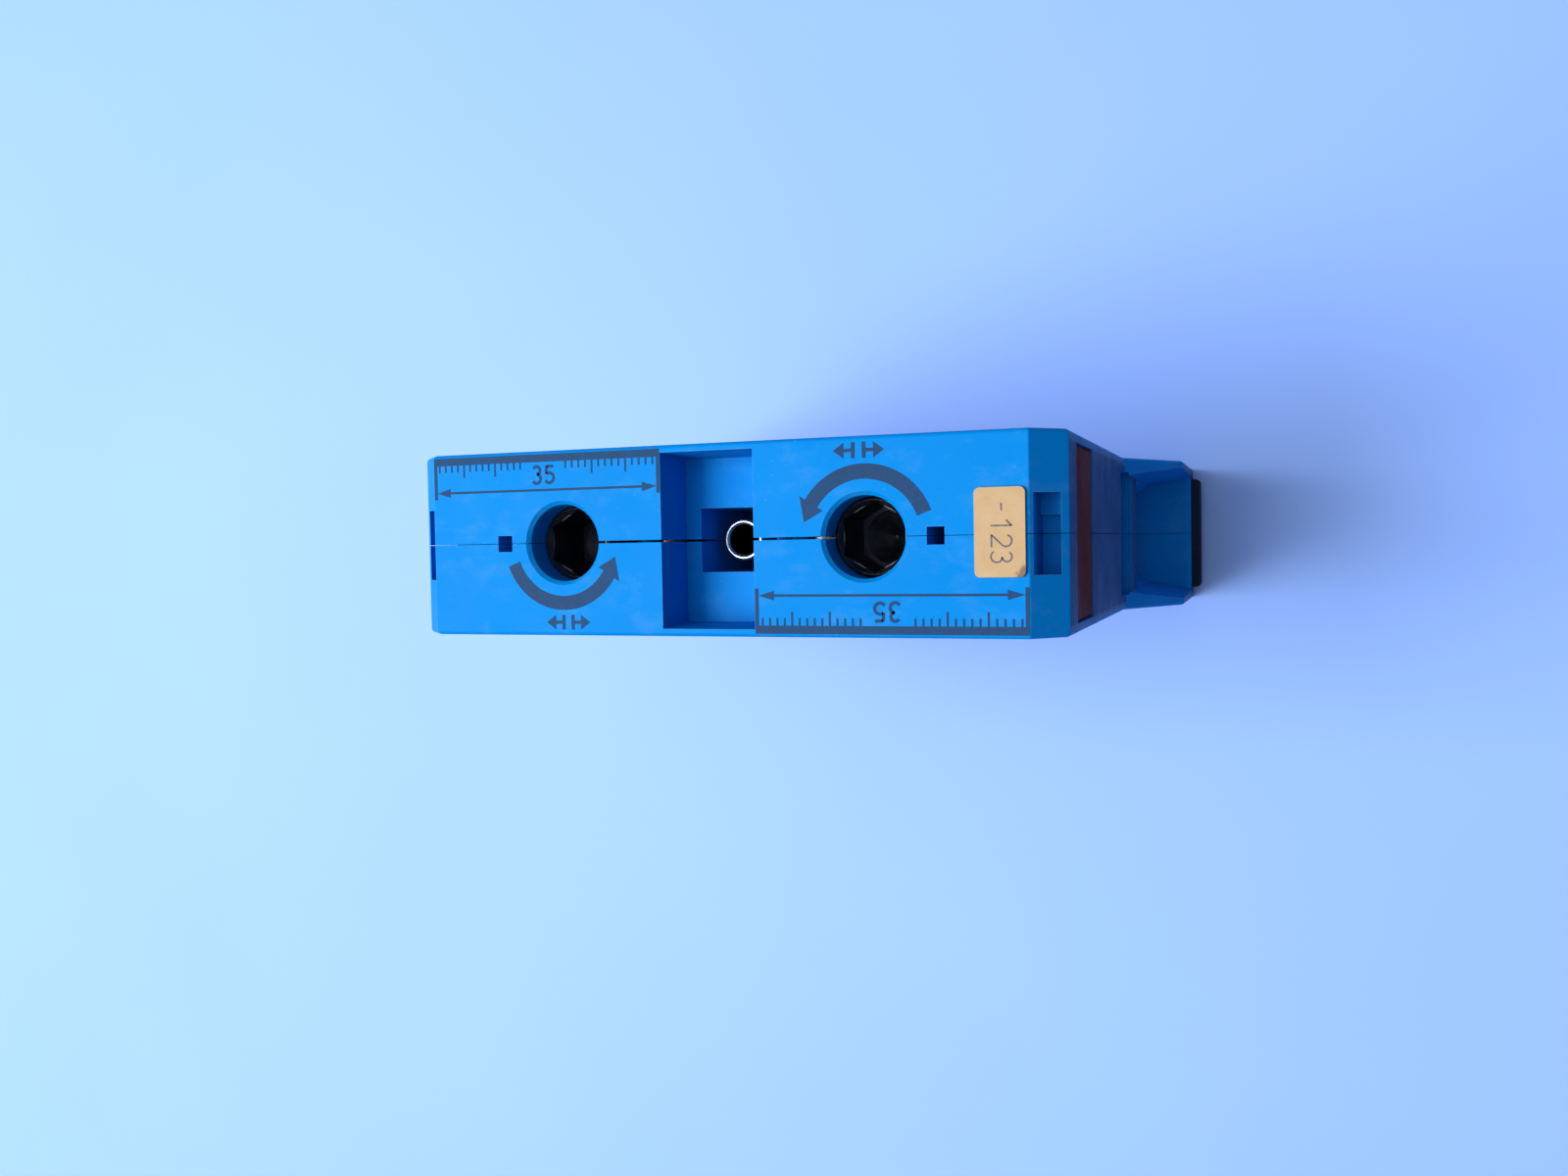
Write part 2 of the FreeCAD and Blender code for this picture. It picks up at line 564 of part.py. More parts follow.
def clamp_stirrup():
    """Steel window that hangs from the nut and lifts the conductor against the bar."""
    plate_in = 14.8
    plate = mid_box(plate_in, STIRRUP_OUT, STIRRUP_HALF_Y, STIRRUP_TOP - STIRRUP_PLATE, STIRRUP_TOP)
    legs = []
    for side in (1, -1):
        near, far = sorted((side * (STIRRUP_HALF_Y - STIRRUP_LEG), side * STIRRUP_HALF_Y))
        legs.append(box(STIRRUP_IN, STIRRUP_OUT, near, far, STIRRUP_SEAT - STIRRUP_BAR, STIRRUP_TOP))
    seat = mid_box(STIRRUP_IN, STIRRUP_OUT, STIRRUP_HALF_Y, STIRRUP_SEAT - STIRRUP_BAR, STIRRUP_SEAT)
    dish = Part.makeCylinder(14.0, 20, FreeCAD.Vector(STIRRUP_IN - 4, 0, STIRRUP_SEAT + 13.2), ALONG_X)
    hole = rod(SHANK_R + 0.5, DRIVE_X, STIRRUP_TOP - 4, STIRRUP_TOP + 1)
    probe = mid_box(TEST_HOLE_X - 1.3, TEST_HOLE_X + 1.3, 1.3, STIRRUP_TOP - 4, STIRRUP_TOP + 1)
    skim = mid_box(STIRRUP_IN - 4, STIRRUP_OUT + 4, HALF_WIDTH, STIRRUP_SEAT - 2, STIRRUP_SEAT)
    seat = seat.cut(dish.common(skim))
    return plate.fuse(legs + [seat]).cut([hole, probe]).removeSplitter()


def bowed_outline(inset):
    """Outline of the loop spring in X and Z, drawn in by inset all round."""
    low = BAR_TOP + 0.02 + inset
    high = STIRRUP_TOP - STIRRUP_PLATE - 0.02 - inset
    middle = (low + high) / 2
    near = FreeCAD.Vector(15.5 + inset / 2, 0, low)
    far = FreeCAD.Vector(32.5 - inset / 2, 0, low)
    far_top = FreeCAD.Vector(30.5 - inset / 2, 0, high)
    near_top = FreeCAD.Vector(15.5 + inset / 2, 0, high)
    far_bulge = FreeCAD.Vector(35.9 - inset, 0, middle)
    near_bulge = FreeCAD.Vector(12.1 + inset, 0, middle)
    return Part.Wire([
        Part.LineSegment(near, far).toShape(),
        Part.Arc(far, far_bulge, far_top).toShape(),
        Part.LineSegment(far_top, near_top).toShape(),
        Part.Arc(near_top, near_bulge, near).toShape(),
    ])


def clamp_spring():
    """Loop of strip steel that stands on the bar and pushes the stirrup up."""
    thickness = 1.8
    half_y = 7.0
    ring = Part.Face(bowed_outline(0)).cut(Part.Face(bowed_outline(thickness)))
    ring.translate(FreeCAD.Vector(0, -half_y, 0))
    loop = ring.extrude(FreeCAD.Vector(0, 2 * half_y, 0))
    hole = rod(SHANK_R + 0.5, DRIVE_X, 55, STIRRUP_TOP)
    probe = mid_box(TEST_HOLE_X - 1.3, TEST_HOLE_X + 1.3, 1.3, 55, STIRRUP_TOP)
    split = mid_box(25.0, 25.6, HALF_WIDTH, BAR_TOP - 1, BAR_TOP + 4)
    return loop.cut([hole, probe, split])


# ---- latch ----

def locking_latch():
    """Push-in latch: its tongue stands behind the spindle's lug and holds the clamp open."""
    face = END - 0.15
    body = mid_box(LATCH_BACK, face, LATCH_HALF_Y, LATCH_LOW, LATCH_HIGH)

    def outer_edge(edge):
        return edge.BoundBox.XMin > face - 0.01

    body = body.makeChamfer(0.35, [edge for edge in body.Edges if outer_edge(edge)])
    rim = 1.3
    flange = mid_box(LATCH_BACK - LATCH_FLANGE, LATCH_BACK + 0.2, INNER_Y - 0.3,
                     LATCH_LOW - rim, LATCH_HIGH + rim)
    middle = FLANGE_TOP - FLANGE_HEIGHT / 2
    low = middle - TONGUE_THICK / 2
    tongue = plan_prism(
        [(LATCH_BACK, -TONGUE_HALF_Y), (LATCH_BACK, TONGUE_HALF_Y), (TONGUE_TIP + 3.5, TONGUE_HALF_Y),
         (TONGUE_TIP + 1.5, 2.0), (TONGUE_TIP, 2.0), (TONGUE_TIP, -2.0), (TONGUE_TIP + 1.5, -2.0),
         (TONGUE_TIP + 3.5, -TONGUE_HALF_Y)], low, low + TONGUE_THICK)
    return body.fuse([flange, tongue]).removeSplitter()


def latch_spring():
    """Bowed leaf between the support frame and the latch's flange."""
    thickness = 0.4
    half_y = 7.0
    low = 77.0
    high = 81.0
    near = FRAME_OUT + 0.02
    far = LATCH_BACK - LATCH_FLANGE - 0.02
    outer_ends = [FreeCAD.Vector(near + thickness, side * half_y, low) for side in (-1, 1)]
    inner_ends = [FreeCAD.Vector(near, side * half_y, low) for side in (-1, 1)]
    outer = Part.Arc(outer_ends[0], FreeCAD.Vector(far, 0, low), outer_ends[1]).toShape()
    inner = Part.Arc(inner_ends[1], FreeCAD.Vector(far - thickness, 0, low), inner_ends[0]).toShape()
    sides = [Part.LineSegment(outer_ends[1], inner_ends[1]).toShape(),
             Part.LineSegment(inner_ends[0], outer_ends[0]).toShape()]
    leaf = Part.Face(Part.Wire([outer, sides[0], inner, sides[1]]))
    return leaf.extrude(FreeCAD.Vector(0, 0, high - low))


# ---- rail foot ----

def foot_slide():
    """Sliding hook: pulled out at the end face, it frees the rail's lip."""
    nose_top = -LIP_GAP + 0.2
    profile = [
        (HOOK_TIP + 2.2, SLIDE_BOTTOM), (SLIDE_OUT, SLIDE_BOTTOM), (SLIDE_OUT, SLIDE_TOP),
        (RAIL_HALF - 0.3, SLIDE_TOP), (RAIL_HALF - 0.3, nose_top), (HOOK_TIP, nose_top - 0.7),
        (HOOK_TIP, SLIDE_BOTTOM + 3.0),
    ]
    slide = side_prism(profile, -SLIDE_HALF_Y, SLIDE_HALF_Y)

    def end_corner(edge):
        return edge.BoundBox.XMin > SLIDE_OUT - 0.01 and edge.BoundBox.YLength < 0.01

    slide = rounded(slide, 0.8, end_corner)
    slot = mid_box(SPRING_IN, SPRING_OUT + SLIDE_TRAVEL, 3.2, SLIDE_BOTTOM - 1, SLIDE_TOP + 1)
    pry = mid_box(50.4, 52.2, 3.0, SLIDE_BOTTOM - 1, SLIDE_BOTTOM + 3.2)
    return slide.cut([slot, pry])


def foot_spring():
    """Coil that draws the slide back under the rail's lip."""
    middle = (SLIDE_TOP + SLIDE_BOTTOM) / 2
    start = FreeCAD.Vector(SPRING_IN + 0.03, 0, middle)
    return coil(1.7, 0.6, 8, start, SPRING_OUT - SPRING_IN - 0.06)


# ---- marker ----

def marker_tag():
    """Thin marker plate stuck on the top face."""
    tag = box(TAG_IN, TAG_OUT, TAG_LOW_Y, TAG_HIGH_Y, TOP, TOP + TAG_THICK)

    def corner(edge):
        return edge.BoundBox.ZLength > TAG_THICK / 2

    return rounded(tag, 0.7, corner)


# ---- writing ----

def write(name, shape):
    if not shape.isValid():
        raise ValueError(name + " is not a valid solid")
    shape.exportStep("parts/" + name + ".step")
    print(name, len(shape.Solids), "solid(s)", round(shape.Volume), "mm3")


def main():
    os.makedirs("parts", exist_ok=True)
    whole = housing()
    write("housing_front_shell", front_shell(whole))
    write("housing_rear_shell", rear_shell(whole))
    write("current_bar", current_bar())
    write("test_socket", test_socket())
    write("foot_slide", foot_slide())
    write("foot_spring", foot_spring())
    write("marker_tag", marker_tag())
    paired = {
        "support_frame": support_frame,
        "thrust_washer": thrust_washer,
        "drive_spindle": drive_spindle,
        "cam_nut": cam_nut,
        "cam_pins": cam_pins,
        "clamp_stirrup": clamp_stirrup,
        "clamp_spring": clamp_spring,
        "locking_latch": locking_latch,
        "latch_spring": latch_spring,
    }
    for name, make in paired.items():
        piece = make()
        write(name + "_right", piece)
        write(name + "_left", turned(piece))


main()
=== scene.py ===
import json
import math

import bmesh
import bpy
from mathutils import Matrix, Vector


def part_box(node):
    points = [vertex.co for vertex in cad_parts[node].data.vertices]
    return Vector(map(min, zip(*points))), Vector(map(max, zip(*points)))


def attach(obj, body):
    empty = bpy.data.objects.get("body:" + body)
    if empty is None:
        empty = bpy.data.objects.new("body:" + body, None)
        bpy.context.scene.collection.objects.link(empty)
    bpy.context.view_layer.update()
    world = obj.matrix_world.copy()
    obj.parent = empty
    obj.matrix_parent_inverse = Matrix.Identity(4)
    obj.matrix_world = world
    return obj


# Looks for a DIN rail terminal block. Metres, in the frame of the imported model: Z up from the rail's
# upper edge, X from conductor to conductor, Y along the rail. Sizes below are in millimetres.

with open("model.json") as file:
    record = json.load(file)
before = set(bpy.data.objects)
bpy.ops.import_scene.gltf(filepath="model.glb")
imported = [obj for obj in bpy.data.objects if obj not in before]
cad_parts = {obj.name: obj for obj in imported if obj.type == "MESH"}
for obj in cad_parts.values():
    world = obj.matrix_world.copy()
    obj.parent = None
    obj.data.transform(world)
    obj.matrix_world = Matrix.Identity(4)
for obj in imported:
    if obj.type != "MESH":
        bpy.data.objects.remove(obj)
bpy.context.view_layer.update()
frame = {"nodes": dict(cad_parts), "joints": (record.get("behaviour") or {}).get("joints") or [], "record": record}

MM = 0.001
ROOT = "housing"

shell_low, shell_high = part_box("housing_rear_shell")
TOP = shell_high.z / MM                     # top face
FOOT = shell_low.z / MM                     # underside
DRIVE_X = next(j for j in frame["joints"] if j["name"] == "spindle_turn_right")["pos_m"][0] / MM
POCKET_X = 6.5                              # half-length of the centre pocket
TOP_X = 41.5                                # half-length of the top face
END_X = 45.6                                # half-length between the end faces
PLUG_R = next(m for m in frame["record"]["mounts"] if m["name"] == "test_plug")["dims"]["r_mm"]

# ---- printing ----
INK_LIFT = 0.022                            # how far the ink stands above the plastic
INK_SINK = 0.01                             # how far it reaches into it
BAR_INNER = 11.0                            # thick bar of the stripping gauge, distance from the seam
BAR_OUTER = 12.05
GAUGE_LINE = 7.2                            # its dimension line
GAUGE_LINE_WIDTH = 0.32
GAUGE_END_WIDTH = 0.5
GAUGE_ARROW = (2.6, 1.25)                   # arrowhead, length and width
ARC_INNER = 7.15                            # curved arrow round a drive hole
ARC_OUTER = 9.05
ARC_TAIL = 20.0                             # degrees from +X
ARC_NECK = 148.0
ARC_TIP = 166.0
ARC_HEAD = 3.6                              # width of its head
ARC_STEPS = 40
GAUGE_INSET = 0.05                          # gauge stops this short of the pocket and the top's end
GAUGE_END_PAST = 0.9                        # its end lines run this far past the dimension line
GAUGE_LENGTH = 35                           # ruler ticks, one each millimetre
TICK_EVERY, TICK_LONG, TICK_SHORT = 5, 1.75, 0.95
TICK_HALF = 0.14
FIGURE_GAP = (20.6, 27.4)                   # no ticks here: the figures stand in the gap
FIGURE_ADVANCE = 1.95
GAUGE_FIGURE, GAUGE_STROKE = 2.35, 0.42     # height and stroke of the gauge's figures
TAG_FIGURE, TAG_STROKE = 2.55, 0.2          # the same on the marker tag
SIGN_OFFSET = 0.6                           # opening sign, centre from the drive axis
SIGN_LOW, SIGN_HIGH = 9.7, 11.7
SIGN_BAR, SIGN_STEM, SIGN_TIP = (0.45, 0.95), 1.9, 3.3
SIGN_STEM_HALF = 0.22

# ---- wear and painted shade ----
END_SHADE_BAND = (1.2, 0.9)                     # painted shade on the right-hand end faces starts this far inside the end face
FRAME_EDGE = (11.0, 11.5)                   # rubbed frame of the end face, distance from the seam
SEAM_CLEAN = (0.3, 0.9)                     # no chipped edge this near the seam
BORE_SHADE = (0.015, 0.022, 0.045)          # painted shade for the inside of a deep bore
BORE_EDGE = (0.12, 0.02)                    # how far past its radius the shade fades in

# ---- stage ----
TABLE_HALF = 1.5                            # metres
CAMERA_TURN = (20.673, 1.922, -1.034)       # degrees: about Y, then tilt, then roll
CAMERA_X, CAMERA_Y, CAMERA_ABOVE = 68.33, -0.745, 153.20
LENS, SENSOR = 29.80, 36.0
LIGHTS = (                                  # name, place, aim, size, watts, colour; metres
    ("window", (-0.58, -0.10, 0.93), (0, 0, 0.05), (0.65, 0.7), 16.3, (0.97, 0.99, 1.0)),
    ("ceiling", (-0.20, 0.10, 1.60), (-0.1, 0, 0), (1.4, 1.4), 10.6, (0.90, 0.95, 1.0)),
)
SKY, SKY_STRENGTH = (0.72, 0.84, 1.0, 1.0), 0.16


# ---- materials ----

def node(tree, kind, values=None, **fields):
    """Adds a node. Values are put on its inputs, or linked to them where they are outputs."""
    made = tree.nodes.new("ShaderNode" + kind)
    for name, value in fields.items():
        setattr(made, name, value)
    for name, value in (values or {}).items():
        if isinstance(value, bpy.types.NodeSocket):
            tree.links.new(value, made.inputs[name])
        else:
            made.inputs[name].default_value = value
    return made


def new_material(name):
    material = bpy.data.materials.new(name)
    material.use_nodes = True
    return material, material.node_tree, material.node_tree.nodes["Principled BSDF"]


def place(tree):
    """Place on the piece, in millimetres."""
    metres = node(tree, "TexCoord").outputs["Object"]
    return node(tree, "VectorMath", {0: metres, 1: (1000, 1000, 1000)}, operation="MULTIPLY").outputs[0]


def stretch(tree, where, scale):
    return node(tree, "VectorMath", {0: where, 1: scale}, operation="MULTIPLY").outputs[0]


def noise(tree, where, scale, detail=3.0, roughness=0.55):
    values = {"Vector": where, "Scale": scale, "Detail": detail, "Roughness": roughness}
    return node(tree, "TexNoise", values).outputs["Fac"]


def levels(tree, value, low, high, out_low=0.0, out_high=1.0):
    """Spreads low..high over out_low..out_high, clamped."""
    values = {"Value": value, "From Min": low, "From Max": high, "To Min": out_low, "To Max": out_high}
    return node(tree, "MapRange", values).outputs["Result"]


def math_node(tree, operation, a, b=0.0):
    return node(tree, "Math", {0: a, 1: b}, operation=operation).outputs[0]


def mix(tree, factor, a, b):
    """Mixes two colours, each an output or a plain colour."""
    values = {0: factor, 6: a if isinstance(a, bpy.types.NodeSocket) else (*a, 1.0),
              7: b if isinstance(b, bpy.types.NodeSocket) else (*b, 1.0)}
    return node(tree, "Mix", values, data_type="RGBA", blend_type="MIX").outputs[2]


def edge_mask(tree, radius, start, full):
    """One along the piece's edges, nothing on its flats."""
    soft = node(tree, "Bevel", {"Radius": radius * MM}, samples=6).outputs["Normal"]
    true = node(tree, "NewGeometry").outputs["Normal"]
    likeness = node(tree, "VectorMath", {0: soft, 1: true}, operation="DOT_PRODUCT").outputs["Value"]
    return levels(tree, likeness, 1.0 - start, 1.0 - full)


def put_bump(tree, shader, height, strength, depth):
    values = {"Height": height, "Strength": strength, "Distance": depth * MM}
    bump = node(tree, "Bump", values).outputs["Normal"]
    tree.links.new(bump, shader.inputs["Normal"])


def facing(tree, axis):
    """How far the surface faces along an axis, -1 to 1."""
    true = node(tree, "NewGeometry").outputs["True Normal"]
    return node(tree, "SeparateXYZ", {0: true}).outputs[axis]


def moulded_plastic(name, base, worn, dark, painted_end_shade, rough=0.45, wear=0.55, shine=0.03):
    """Moulded plastic: fine grain, faint clouding, painted shade on the right-hand end faces, scuffs, whitened
    edges.
    """
    material, tree, shader = new_material(name)
    where = place(tree)
    spot = node(tree, "SeparateXYZ", {0: where}).outputs
    from_seam = math_node(tree, "ABSOLUTE", spot["Y"])
    clouds = levels(tree, noise(tree, where, 0.05, 4.0), 0.32, 0.70)
    colour = mix(tree, math_node(tree, "MULTIPLY", clouds, 0.35), base, dark)
    # Painted shade: the +X faces at the right-hand end, turned away from the window light, are mixed towards the
    # dark end colour.
    on_ends = math_node(tree, "MULTIPLY", levels(tree, facing(tree, "X"), 0.93, 0.99),
                        levels(tree, spot["X"], END_X - END_SHADE_BAND[0], END_X - END_SHADE_BAND[1]))
    colour = mix(tree, math_node(tree, "MULTIPLY", on_ends, 0.85), colour, painted_end_shade)
    upright = stretch(tree, where, (3.0, 3.0, 0.22))
    streaks = levels(tree, noise(tree, upright, 0.9, 5.0, 0.7), 0.58, 0.74)
    on_faces = levels(tree, on_ends, 0.0, 1.0, 0.03, 0.10)
    colour = mix(tree, math_node(tree, "MULTIPLY", streaks, on_faces), colour, worn)
    outer = math_node(tree, "MULTIPLY", levels(tree, from_seam, *FRAME_EDGE, 0.0, 0.75), on_ends)
    rubbed = math_node(tree, "MULTIPLY", outer, levels(tree, streaks, 0.0, 1.0, 0.5, 1.0))
    colour = mix(tree, rubbed, colour, worn)
    across = stretch(tree, where, (1.0, 1.6, 1.0))
    smudges = levels(tree, noise(tree, across, 0.16, 6.0, 0.7), 0.52, 0.72, 0.0, 0.16)
    colour = mix(tree, smudges, colour, worn)
    specks = levels(tree, noise(tree, where, 1.7, 2.0, 0.4), 0.745, 0.77, 0.0, 0.3)
    colour = mix(tree, specks, colour, worn)
    edges = edge_mask(tree, 0.35, 0.02, 0.26)
    patchy = levels(tree, noise(tree, where, 0.8, 6.0, 0.75), 0.40, 0.66, 0.12, 1.0)
    off_seam = levels(tree, from_seam, *SEAM_CLEAN)
    chipped = math_node(tree, "MULTIPLY", math_node(tree, "MULTIPLY", edges, patchy), wear)
    chipped = math_node(tree, "MULTIPLY", chipped, off_seam)
    colour = mix(tree, chipped, colour, worn)
    tree.links.new(colour, shader.inputs["Base Color"])
    finger = noise(tree, where, 0.12, 3.0)
    matt = levels(tree, finger, 0.3, 0.7, rough - 0.06, rough + 0.10)
    tree.links.new(matt, shader.inputs["Roughness"])
    grain = noise(tree, where, 7.0, 3.0, 0.6)
    put_bump(tree, shader, grain, 0.25, 0.03)
    shader.inputs["Specular IOR Level"].default_value = shine
    return material


def plated_metal(name, base, tarnish, rough, brushed=(1.0, 1.0, 1.0), wear=0.5, bore=0.0):
    """Metal brushed along one axis and tarnished in patches; a bore about the Z axis gets painted shade inside."""
    material, tree, shader = new_material(name)
    where = place(tree)
    patches = levels(tree, noise(tree, where, 0.25, 5.0, 0.65), 0.42, 0.68)
    colour = mix(tree, math_node(tree, "MULTIPLY", patches, wear), base, tarnish)
    # Painted shade: inside the bore the colour goes to a dark navy.
    if bore:
        spot = node(tree, "SeparateXYZ", {0: where}).outputs
        flat = node(tree, "CombineXYZ", {"X": spot["X"], "Y": spot["Y"]}).outputs[0]
        from_axis = node(tree, "VectorMath", {0: flat}, operation="LENGTH").outputs["Value"]
        inside = levels(tree, from_axis, bore + BORE_EDGE[0], bore + BORE_EDGE[1])
        colour = mix(tree, inside, colour, BORE_SHADE)
    tree.links.new(colour, shader.inputs["Base Color"])
    lines = noise(tree, stretch(tree, where, brushed), 3.0, 4.0, 0.6)
    tree.links.new(levels(tree, lines, 0.3, 0.7, rough - 0.08, rough + 0.12), shader.inputs["Roughness"])
    shader.inputs["Metallic"].default_value = 1.0
    put_bump(tree, shader, lines, 0.18, 0.02)
    return material


def black_steel(name):
    """Blackened, oiled steel with bright rubbed edges."""
    material, tree, shader = new_material(name)
    where = place(tree)
    bloom = levels(tree, noise(tree, where, 0.5, 4.0), 0.35, 0.7)
    colour = mix(tree, bloom, (0.012, 0.014, 0.022), (0.034, 0.037, 0.050))
    rubbed = math_node(tree, "MULTIPLY", edge_mask(tree, 0.25, 0.03, 0.30), 0.25)
    colour = mix(tree, rubbed, colour, (0.16, 0.17, 0.20))
    tree.links.new(colour, shader.inputs["Base Color"])
    tree.links.new(levels(tree, bloom, 0.0, 1.0, 0.34, 0.52), shader.inputs["Roughness"])
    shader.inputs["Metallic"].default_value = 0.75
    put_bump(tree, shader, noise(tree, where, 4.0, 3.0), 0.15, 0.02)
    return material


def printing_ink(name):
    """Thin grey pad-printed ink, with pinholes where the blue shows through."""
    material, tree, shader = new_material(name)
    where = place(tree)
    pinholes = levels(tree, noise(tree, where, 4.5, 4.0, 0.7), 0.58, 0.74, 0.0, 0.5)
    thin = levels(tree, noise(tree, where, 0.35, 3.0), 0.35, 0.75, 0.0, 0.35)
    ink = mix(tree, thin, (0.015, 0.047, 0.120), (0.007, 0.066, 0.175))
    tree.links.new(mix(tree, pinholes, ink, (0.001, 0.150, 0.470)), shader.inputs["Base Color"])
    shader.inputs["Roughness"].default_value = 0.62
    shader.inputs["Specular IOR Level"].default_value = 0.08
    put_bump(tree, shader, noise(tree, where, 9.0, 2.0), 0.2, 0.02)
    return material


def tag_plastic(name):
    """Pale orange marker plastic, a little yellowed, going dark brown towards one corner."""
    material, tree, shader = new_material(name)
    where = place(tree)
    low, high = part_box("marker_tag")
    clouds = levels(tree, noise(tree, where, 0.35, 4.0), 0.3, 0.7)
    colour = mix(tree, clouds, (0.42, 0.245, 0.098), (0.45, 0.295, 0.140))
    # Darker brown towards the corner at the tag's +X, -Y end, with a ragged edge.
    corner = (high.x / MM - 0.2, low.y / MM + 0.2, high.z / MM)
    away = node(tree, "VectorMath", {0: where, 1: corner}, operation="DISTANCE").outputs["Value"]
    uneven = levels(tree, noise(tree, where, 1.6, 5.0), 0.2, 0.8, -0.6, 0.6)
    ragged = math_node(tree, "ADD", away, uneven)
    colour = mix(tree, levels(tree, ragged, 1.15, 0.6, 0.0, 0.85), colour, (0.085, 0.040, 0.02))
    wiped = stretch(tree, where, (0.6, 2.0, 1.0))
    smear = levels(tree, noise(tree, wiped, 1.1, 5.0), 0.60, 0.78, 0.0, 0.22)
    colour = mix(tree, smear, colour, (0.24, 0.18, 0.13))
    tree.links.new(colour, shader.inputs["Base Color"])
    shader.inputs["Roughness"].default_value = 0.5
    shader.inputs["Subsurface Weight"].default_value = 0.04
    shader.inputs["Subsurface Scale"].default_value = 0.001
    put_bump(tree, shader, noise(tree, where, 5.0, 2.0), 0.12, 0.02)
    return material


def pen_ink(name):
    """Fine grey marks on the tag."""
    material, tree, shader = new_material(name)
    uneven = levels(tree, noise(tree, place(tree), 2.5, 3.0), 0.3, 0.75)
    colour = mix(tree, uneven, (0.055, 0.058, 0.08), (0.13, 0.12, 0.13))
    tree.links.new(colour, shader.inputs["Base Color"])
    shader.inputs["Roughness"].default_value = 0.7
    return material


def table_paper(name):
    """Pale, cool table top with a faint mottle and a few soft scratches."""
    material, tree, shader = new_material(name)
    where = place(tree)
    cloud = levels(tree, noise(tree, where, 0.006, 4.0), 0.3, 0.7)
    colour = mix(tree, cloud, (0.262, 0.428, 0.93), (0.280, 0.452, 0.95))
    drawn = stretch(tree, where, (0.25, 1.0, 1.0))
    marks = levels(tree, noise(tree, drawn, 0.05, 6.0, 0.75), 0.66, 0.74, 0.0, 0.10)
    colour = mix(tree, marks, colour, (0.21, 0.35, 0.80))
    tree.links.new(colour, shader.inputs["Base Color"])
    shader.inputs["Roughness"].default_value = 0.55
    shader.inputs["Specular IOR Level"].default_value = 0.25
    put_bump(tree, shader, noise(tree, where, 0.6, 4.0), 0.08, 0.1)
    return material


# ---- pieces ----

def finish_piece(name, mesh, material, body=ROOT):
    """Makes the mesh a piece of the object that rides on a body."""
    piece = bpy.data.objects.new(name, mesh)
    bpy.context.scene.collection.objects.link(piece)
    mesh.materials.append(material)
    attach(piece, body)
    return piece


def printed(name, outlines, material, height=TOP):
    """Thin raised ink from flat outlines, in millimetres on a level face."""
    mesh = bpy.data.meshes.new(name)
    work = bmesh.new()
    for outline in outlines:
        low = [work.verts.new((x * MM, y * MM, (height - INK_SINK) * MM)) for x, y in outline]
        high = [work.verts.new((x * MM, y * MM, (height + INK_LIFT) * MM)) for x, y in outline]
        work.faces.new(high)
        work.faces.new(list(reversed(low)))
        count = len(outline)
        for i in range(count):
            j = (i + 1) % count
            work.faces.new((low[i], low[j], high[j], high[i]))
    bmesh.ops.recalc_face_normals(work, faces=work.faces)
    work.to_mesh(mesh)
    work.free()
    return finish_piece(name, mesh, material)


def turned(outlines):
    """The same outlines at the other end of the block."""
    return [[(-x, -y) for x, y in outline] for outline in outlines]


def slab(x0, x1, y0, y1):
    return [(x0, y0), (x1, y0), (x1, y1), (x0, y1)]


def around(centre, radius, start, end, steps):
    """Points on an arc, angles in degrees."""
    points = []
    for i in range(steps + 1):
        angle = math.radians(start + (end - start) * i / steps)
        points.append((centre[0] + radius * math.cos(angle), centre[1] + radius * math.sin(angle)))
    return points


def stroke(points, width):
    """Outline of a line of even width along the points."""
    left, right = [], []
    for i, point in enumerate(points):
        before = Vector(points[max(i - 1, 0)])
        after = Vector(points[min(i + 1, len(points) - 1)])
        along = (after - before).normalized()
        across = Vector((-along.y, along.x)) * (width / 2)
        left.append(tuple(Vector(point) + across))
        right.append(tuple(Vector(point) - across))
    return left + list(reversed(right))


GLYPHS = {
    "-": [[(0.08, 0.5), (0.42, 0.5)]],
    "1": [[(0.10, 0.72), (0.36, 0.97)], [(0.36, 1.0), (0.36, 0.0)]],
    "2": [around((0.30, 0.71), 0.27, 165, -38, 14) + [(0.03, 0.04)], [(0.0, 0.03), (0.60, 0.03)]],
    "3": [around((0.28, 0.75), 0.23, 150, -88, 14), around((0.27, 0.27), 0.27, 84, -150, 14)],
    "5": [[(0.55, 0.97), (0.10, 0.97)], [(0.11, 1.0), (0.07, 0.53)],
          around((0.27, 0.31), 0.29, 128, -150, 14)],
}


def figures(text, height, advance, width, put):
    """Outlines of plain figures; put turns a place in the line of text into X and Y."""
    outlines = []
    for i, letter in enumerate(text):
        for line in GLYPHS[letter]:
            at = [(i * advance + x * height, y * height) for x, y in line]
            outlines.append([put(*point) for point in stroke(at, width)])
    return outlines


